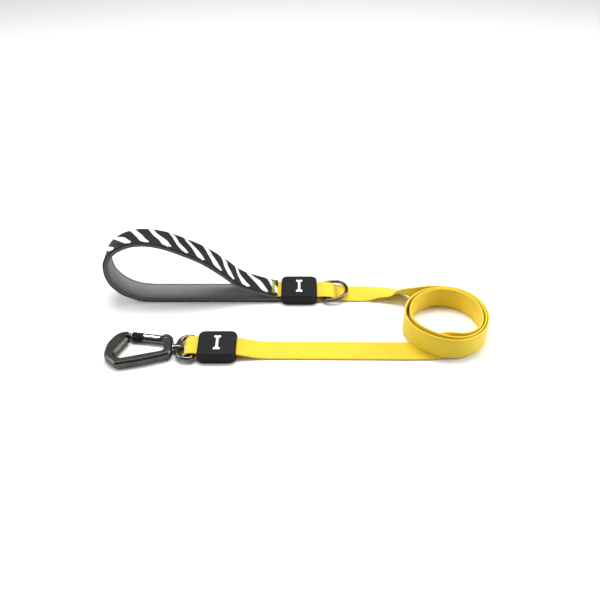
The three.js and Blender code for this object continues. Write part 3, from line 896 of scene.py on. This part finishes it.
# ---- webbing tails at the hardware ----
TAB_ROUTE = [
    [0.0637, 0.0023],
    [0.0760, 0.0023],
    [0.0800, 0.0013],
    [0.0840, 0.00075],
    [0.0870, 0.0012],
    [0.0900, 0.0027],
    [0.0930, 0.0021],
    [0.0970, 0.00085],
]
HOOK_LOOP_ROUTE = [
    [-0.0060, 0.0058],
    [-0.0140, 0.0060],
    [-0.0190, 0.0068],
    [-0.0245, 0.0072],
    [-0.0282, 0.0070],
    [-0.0306, 0.0049],
    [-0.0304, 0.0022],
    [-0.0280, 0.00088],
    [-0.0250, 0.00075],
    [-0.0224, 0.00135],
    [-0.0198, 0.0022],
    [-0.0150, 0.0023],
    [-0.0060, 0.0023],
]


def tail(name, route, y, outline, node):
    samples, at = through(in_plane(route, y), TAIL_STEP)
    strip = sweep(name, samples, at, lambda _: outline, WEBBING, "leash", "webbing", RIGHT)
    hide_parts(node)


tail("ring_tab_webbing", TAB_ROUTE, HANDLE_Y, flat_section(0.019, -0.0006, 0.0006), "ring_tab")
tail("hook_loop_webbing", HOOK_LOOP_ROUTE, HOOK_Y, WEBBING_OUTLINE, "hook_loop")

# ---- hardware ----


def rounded(corners, steps=8, closed=True):
    """Points along the outline through [x, y, rounding] corners."""
    points = []
    count = len(corners)
    for i, (x, y, rounding) in enumerate(corners):
        corner = np.array([x, y])
        if rounding == 0 or (not closed and i in (0, count - 1)):
            points.append(corner)
            continue
        before = np.array(corners[i - 1][:2]) - corner
        after = np.array(corners[(i + 1) % count][:2]) - corner
        start = corner + rounding * before / np.linalg.norm(before)
        end = corner + rounding * after / np.linalg.norm(after)
        for t in np.linspace(0, 1, steps):
            points.append((1 - t) ** 2 * start + 2 * t * (1 - t) * corner + t**2 * end)
    return np.array(points)


def evenly(outline, step):
    """A closed outline resampled into even steps."""
    closed = np.vstack([outline, outline[:1]])
    along = distances(closed)
    at = np.linspace(0, along[-1], int(along[-1] / step), endpoint=False)
    return np.column_stack([np.interp(at, along, closed[:, k]) for k in range(2)])


WIRE_STEP = 0.0006
WIRE_SOFTENING = 6  # rounds of averaging, which soften a wire's bends


def wire_ring(outline, radius, sides=24):
    """Vertices and faces of a round wire along a closed outline in the XY plane."""
    points = evenly(outline, WIRE_STEP)
    for _ in range(WIRE_SOFTENING):
        points = (np.roll(points, 1, 0) + 2 * points + np.roll(points, -1, 0)) / 4
    tangent = unit(np.roll(points, -1, 0) - np.roll(points, 1, 0))
    normal = np.column_stack([tangent[:, 1], -tangent[:, 0]])
    vertices = []
    for point, (nx, ny) in zip(points, normal):
        for j in range(sides):
            t = 2 * math.pi * j / sides
            a, b = radius * math.cos(t), radius * math.sin(t)
            vertices.append((point[0] + a * nx, point[1] + a * ny, b))
    return vertices, ring_faces(len(points), sides, closed=True)


def turned(profile, segments=56, ridges=0, ridge_depth=0.0, closed=False):
    """Vertices and faces of a shape turned about X from [x, radius, ridged] points, where ridged
    is the share of the ridges' depth that shows there. A solid's profile ends at a radius of 0,
    and the profile of a ring with a bore is closed."""
    vertices = []
    for x, radius, ridged in profile:
        for j in range(segments):
            t = 2 * math.pi * j / segments
            cut = ridge_depth * ridged * (0.5 - 0.5 * math.cos(ridges * t)) ** 1.6
            vertices.append((x, (radius - cut) * math.cos(t), (radius - cut) * math.sin(t)))
    return vertices, ring_faces(len(profile), segments, closed)


def turned_profile(corners, steps=5, closed=False):
    """A plain profile through [x, radius, rounding] corners."""
    return [(x, r, 0.0) for x, r in rounded(corners, steps, closed)]


def metal_piece(name, parts, place, material, body, slot, *nodes):
    """One object made of several meshes, put in place by a matrix."""
    vertices, faces = [], []
    for part_vertices, part_faces in parts:
        first = len(vertices)
        vertices += list(part_vertices)
        faces += [tuple(first + v for v in face) for face in part_faces]
    obj = new_object(name, vertices, faces, material)
    obj.data.transform(place)
    return attach(obj, body, slot, *nodes)


def turned_ring(corners):
    return turned(turned_profile(corners, closed=True), closed=True)


def fuse(obj, voxel, passes):
    """Remeshes a shape into one skin with softly rounded edges."""
    remesh = obj.modifiers.new("fuse", "REMESH")
    remesh.mode = "VOXEL"
    remesh.voxel_size = voxel
    remesh.use_smooth_shade = True
    smooth = obj.modifiers.new("soften", "SMOOTH")
    smooth.iterations = passes
    smooth.factor = 0.5


# D-ring. Its bow is lifted a little, because it rests on the webbing.
D_RING_BAR = (0.084, HANDLE_Y, 0.0032)
D_RING_TILT = math.radians(-9)
D_RING_PLACE = Matrix.Translation(D_RING_BAR) @ Matrix.Rotation(D_RING_TILT, 4, "Y")
D_RING_HALF_WIDTH = 0.01275
D_RING_REACH = 0.0205
D_RING_WIRE = 0.0015
bow_turn = np.linspace(-math.pi / 2, math.pi / 2, 40)
bow_centre = D_RING_REACH - D_RING_HALF_WIDTH
d_ring_bow = np.column_stack(
    [bow_centre + D_RING_HALF_WIDTH * np.cos(bow_turn), D_RING_HALF_WIDTH * np.sin(bow_turn)]
)
d_ring_foot = rounded(
    [
        [bow_centre, D_RING_HALF_WIDTH, 0],
        [0, D_RING_HALF_WIDTH, 0.003],
        [0, -D_RING_HALF_WIDTH, 0.003],
        [bow_centre, -D_RING_HALF_WIDTH, 0],
    ],
    closed=False,
)
metal_piece(
    "d_ring_wire",
    [wire_ring(np.vstack([d_ring_bow, d_ring_foot[1:-1]]), D_RING_WIRE)],
    D_RING_PLACE,
    GUNMETAL,
    "d_ring",
    "gunmetal_steel",
    "d_ring",
)

# Swivel ring, with the boss that the stem turns in.
HOOK_PLACE = Matrix.Translation((0.0, HOOK_Y, HARDWARE_Z))
SWIVEL_OUTLINE = [
    [-0.0245, -0.0129, 0.0028],
    [-0.0245, 0.0129, 0.0028],
    [-0.0352, 0.0129, 0.007],
    [-0.0382, 0.0, 0.0065],
    [-0.0352, -0.0129, 0.007],
]
BOSS_PROFILE = [
    [-0.0403, 0.0019, 0.0003],
    [-0.0403, 0.0033, 0.0005],
    [-0.0346, 0.0033, 0.0005],
    [-0.0346, 0.0019, 0.0003],
]
metal_piece(
    "swivel_ring_casting",
    [wire_ring(rounded(SWIVEL_OUTLINE), 0.0021), turned_ring(BOSS_PROFILE)],
    HOOK_PLACE,
    GUNMETAL,
    "swivel_ring",
    "gunmetal_steel",
    "swivel_ring",
)

# Stem: a rivet whose ribbed head shows inside the ring.
STEM_PROFILE = [
    [-0.0462, 0.0, 0],
    [-0.0462, 0.0016, 0.0002],
    [-0.0343, 0.0016, 0.0001],
    [-0.0343, 0.0029, 0.0002],
    [-0.03382, 0.0029, 0.00012],
    [-0.03362, 0.0025, 0.00012],
    [-0.0334, 0.0025, 0.00012],
    [-0.0332, 0.0029, 0.00012],
    [-0.0328, 0.0029, 0.00012],
    [-0.0326, 0.0025, 0.00012],
    [-0.0322, 0.0019, 0.0003],
    [-0.0322, 0.0, 0],
]
metal_piece(
    "swivel_rivet",
    [turned(turned_profile(STEM_PROFILE, 4))],
    HOOK_PLACE,
    GUNMETAL,
    "hook",
    "gunmetal_steel",
    "swivel_stem",
)
WASHER_PROFILE = [
    [-0.0413, 0.0019, 0.0001],
    [-0.0413, 0.0031, 0.00015],
    [-0.0406, 0.0031, 0.00015],
    [-0.0406, 0.0019, 0.0001],
]
metal_piece(
    "thrust_washer",
    [turned_ring(WASHER_PROFILE)],
    HOOK_PLACE,
    BRIGHT_STEEL,
    "hook",
    "bright_steel",
    "swivel_washer",
)

# Carabiner frame: the CAD's shape with its edges softened as a casting's are.
frame_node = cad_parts["carabiner_frame"]
casting = bpy.data.objects.new("carabiner_casting", frame_node.data.copy())
bpy.context.scene.collection.objects.link(casting)
casting.data.materials.clear()
casting.data.materials.append(FRAME_ALLOY)
fuse(casting, voxel=0.00024, passes=1)
attach(casting, "hook", "gunmetal_alloy", "carabiner_frame")

# Gate, made pointing along -X from its pivot.
GATE_PIVOT = (-0.0477, -0.0235, HARDWARE_Z)
GATE_TURN = math.radians(-9)
GATE_PLACE = Matrix.Translation(GATE_PIVOT) @ Matrix.Rotation(GATE_TURN, 4, "Z")
PIN_PROFILE = [
    [-0.0035, 0.0, 0],
    [-0.0035, 0.0005, 0.0001],
    [-0.0032, 0.00075, 0.0002],
    [0.0032, 0.00075, 0.0002],
    [0.0035, 0.0005, 0.0001],
    [0.0035, 0.0, 0],
]
metal_piece(
    "gate_pivot",
    [turned(turned_profile(PIN_PROFILE), 24)],
    GATE_PLACE @ Matrix.Rotation(math.pi / 2, 4, "Y"),
    BRIGHT_STEEL,
    "hook",
    "bright_steel",
    "gate_pivot_pin",
)
BARREL_PROFILE = [
    [-0.0196, 0.0, 0],
    [-0.0196, 0.0036, 0.0003],
    [-0.0042, 0.0036, 0.0006],
    [-0.0042, 0.0, 0],
]
TIP_PROFILE = [
    [-0.0302, 0.0, 0],
    [-0.0302, 0.0026, 0.0006],
    [-0.0190, 0.0026, 0.0001],
    [-0.0190, 0.0, 0],
]
TONGUE_RADIUS = 0.0034
TONGUE_HALF_THICKNESS = 0.0016
TONGUE_ROOT = -0.0052
PLATE_SPAN = (-0.0187, -0.0056)  # in X
PLATE_OUTER = 0.00376
PLATE_INNER = 0.0034
PLATE_REACH = math.radians(43)  # either side of the barrel's top
PLATE_CORNER = 0.0007
PLATE_ROWS = 24
PLATE_COLUMNS = 14


def tongue():
    """The flat end of the gate that turns on the pivot."""
    turn = np.linspace(-math.pi / 2, math.pi / 2, 24)
    round_end = [(TONGUE_RADIUS * math.cos(t), TONGUE_RADIUS * math.sin(t)) for t in turn]
    outline = round_end + [(TONGUE_ROOT, TONGUE_RADIUS), (TONGUE_ROOT, -TONGUE_RADIUS)]
    face = TONGUE_HALF_THICKNESS
    soft = TONGUE_HALF_THICKNESS - 0.00025
    vertices = []
    for z, share in ((-face, 0.93), (-soft, 1.0), (soft, 1.0), (face, 0.93)):
        vertices += [(x * share, y * share, z) for x, y in outline]
    return vertices, ring_faces(4, len(outline))


def block(low, high):
    """A cutter with corners low and high."""
    vertices = list(itertools.product(*zip(low, high)))
    faces = [(0, 1, 3, 2), (4, 6, 7, 5), (0, 4, 5, 1), (2, 3, 7, 6), (0, 2, 6, 4), (1, 5, 7, 3)]
    return vertices, faces


def carve(obj, cutters, place):
    """Cuts the blocks out of obj and applies the result."""
    for vertices, faces in cutters:
        cutter = new_object("cutter", vertices, faces, smooth=False)
        cutter.data.transform(place)
        modifier = obj.modifiers.new("carve", "BOOLEAN")
        modifier.operation = "DIFFERENCE"
        modifier.solver = "EXACT"
        modifier.object = cutter
        bpy.context.view_layer.update()
        evaluated = obj.evaluated_get(bpy.context.evaluated_depsgraph_get())
        carved = bpy.data.meshes.new_from_object(evaluated)
        obj.modifiers.remove(modifier)
        obj.data = carved
        bpy.data.objects.remove(cutter)


def crisp(obj, degrees=32):
    """Smooth shading that breaks at sharp edges."""
    mesh = obj.data
    shape = bmesh.new()
    shape.from_mesh(mesh)
    for edge in shape.edges:
        soft = edge.calc_face_angle(0.0) < math.radians(degrees)
        edge.smooth = len(edge.link_faces) == 2 and soft
    shape.to_mesh(mesh)
    shape.free()


def barrel_plate():
    """A bright plate let into the top of the barrel: a strip of its round face, slightly proud."""
    vertices = []
    for x in np.linspace(*PLATE_SPAN, PLATE_ROWS):
        to_end = min(x - PLATE_SPAN[0], PLATE_SPAN[1] - x)
        reach = PLATE_REACH * min(1.0, 0.72 + 0.28 * math.sqrt(to_end / PLATE_CORNER))
        turn = math.pi / 2 + np.linspace(-reach, reach, PLATE_COLUMNS)
        for radius, angles in ((PLATE_OUTER, turn), (PLATE_INNER, turn[::-1])):
            vertices += [(x, radius * math.cos(t), radius * math.sin(t)) for t in angles]
    return vertices, ring_faces(PLATE_ROWS, 2 * PLATE_COLUMNS)


gate = metal_piece(
    "gate_dark_barrel",
    [turned(turned_profile(BARREL_PROFILE, 6), 72)],
    GATE_PLACE,
    DARK_STEEL,
    "gate",
    "bright_steel",
    "gate_barrel",
)
metal_piece(
    "gate_bright_tip",
    [turned(turned_profile(TIP_PROFILE, 6), 48)],
    GATE_PLACE,
    BRIGHT_STEEL,
    "gate",
    "bright_steel",
)
plate = metal_piece(
    "gate_bright_plate", [barrel_plate()], GATE_PLACE, BRIGHT_STEEL, "gate", "bright_steel"
)
# An L-shaped slot in the plate and the barrel under it.
KEY_SLOTS = [
    block((-0.0105, 0.0006, 0.0031), (-0.0060, 0.0013, 0.0046)),
    block((-0.0067, -0.0014, 0.0031), (-0.0060, 0.0013, 0.0046)),
]
for part in (gate, plate):
    carve(part, KEY_SLOTS, GATE_PLACE)
    crisp(part)
hinge_end = metal_piece(
    "gate_tongue", [tongue()], GATE_PLACE, DARK_STEEL, "gate", "bright_steel"
)
crisp(hinge_end)

LOCK_PROFILE = [
    (-0.0289, 0.00295, 0.0),
    (-0.0289, 0.0033, 0.0),
    (-0.0288, 0.0036, 0.0),
    (-0.0285, 0.0038, 0.0),
    (-0.0280, 0.0038, 0.0),
    (-0.0277, 0.0038, 1.0),
    (-0.0247, 0.0038, 1.0),
    (-0.0245, 0.0036, 0.2),
    (-0.0242, 0.0036, 0.2),
    (-0.0240, 0.0038, 1.0),
    (-0.0211, 0.0038, 1.0),
    (-0.0208, 0.0038, 0.0),
    (-0.0203, 0.0038, 0.0),
    (-0.0200, 0.0036, 0.0),
    (-0.0199, 0.0033, 0.0),
    (-0.0199, 0.00295, 0.0),
]
metal_piece(
    "knurled_lock",
    [turned(LOCK_PROFILE, 288, ridges=24, ridge_depth=0.00032, closed=True)],
    GATE_PLACE,
    BLACK_ALLOY,
    "lock",
    "black_alloy",
    "locking_sleeve",
)

# Push rod and spring, in the gate's lower bore.
BORE_Y = -0.00215
ROD_PROFILE = [
    [-0.0040, 0.0, 0],
    [-0.0040, 0.0005, 0.0001],
    [0.0031, 0.0005, 0.0002],
    [0.0031, 0.0, 0],
]
BORE_PLACE = GATE_PLACE @ Matrix.Translation((0.0, BORE_Y, 0.0))
metal_piece(
    "push_rod",
    [turned(turned_profile(ROD_PROFILE), 20)],
    BORE_PLACE,
    BRIGHT_STEEL,
    "gate",
    "bright_steel",
    "gate_push_rod",
)
SPRING_COILS = 9
SPRING_START = -0.0123
SPRING_LENGTH = 0.0079
SPRING_RADIUS = 0.00055
SPRING_WIRE = 0.00012
spring_turns = np.linspace(0, 1, SPRING_COILS * 18)
spring_points = [
    BORE_PLACE
    @ Vector(
        (
            SPRING_START + SPRING_LENGTH * t,
            SPRING_RADIUS * math.cos(2 * math.pi * SPRING_COILS * t),
            SPRING_RADIUS * math.sin(2 * math.pi * SPRING_COILS * t),
        )
    )
    for t in spring_turns
]
spring = round_sweep(
    "return_spring", spring_points, SPRING_WIRE, BRIGHT_STEEL, "gate", "bright_steel", sides=6
)
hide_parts("gate_spring")

# ---- studio ----
# Each softbox's name, place, target, width, height and power in watts.
SOFTBOXES = [
    ("light_top", (0.05, 0.3, 1.0), (0.06, 0.0, 0.0), 0.9, 0.4, 12.0),
    ("light_left", (-0.75, 0.05, 0.4), (0.0, 0.0, 0.0), 0.6, 0.4, 4.6),
    ("light_right", (0.95, 0.05, 0.4), (0.1, 0.0, 0.0), 0.6, 0.4, 6.5),
]
WORLD_LIGHT = 0.19  # the strength that lights the object
WORLD_BACKDROP = 0.85  # the strength that shows behind the floor
FLOOR_HALF = 3.0


def softbox(name, place, target, width, height, power):
    light = bpy.data.lights.new(name, "AREA")
    light.shape = "RECTANGLE"
    light.size = width
    light.size_y = height
    light.energy = power
    obj = bpy.data.objects.new(name, light)
    obj.location = place
    obj.rotation_euler = (Vector(target) - Vector(place)).to_track_quat("-Z", "Y").to_euler()
    bpy.context.scene.collection.objects.link(obj)


for settings in SOFTBOXES:
    softbox(*settings)

# The world lights softly, and shows as a pale backdrop behind the floor.
world = bpy.data.worlds.new("studio")
world.use_nodes = True
backdrop = world.node_tree.nodes["Background"]
backdrop.inputs["Color"].default_value = (1.0, 1.0, 1.0, 1.0)
rays = world.node_tree.nodes.new("ShaderNodeLightPath")
strength = world.node_tree.nodes.new("ShaderNodeMapRange")
strength.inputs["To Min"].default_value = WORLD_LIGHT
strength.inputs["To Max"].default_value = WORLD_BACKDROP
world.node_tree.links.new(rays.outputs["Is Camera Ray"], strength.inputs["Value"])
world.node_tree.links.new(strength.outputs["Result"], backdrop.inputs["Strength"])
bpy.context.scene.world = world
bpy.context.scene.view_settings.view_transform = "Standard"

floor = new_object(
    "floor",
    [(x, y, FLOOR_Z) for x, y in ((-1, -1), (1, -1), (1, 1), (-1, 1))],
    [(0, 1, 2, 3)],
    floor_material(),
    smooth=False,
)
floor.data.transform(Matrix.Diagonal((FLOOR_HALF, FLOOR_HALF, 1.0, 1.0)))
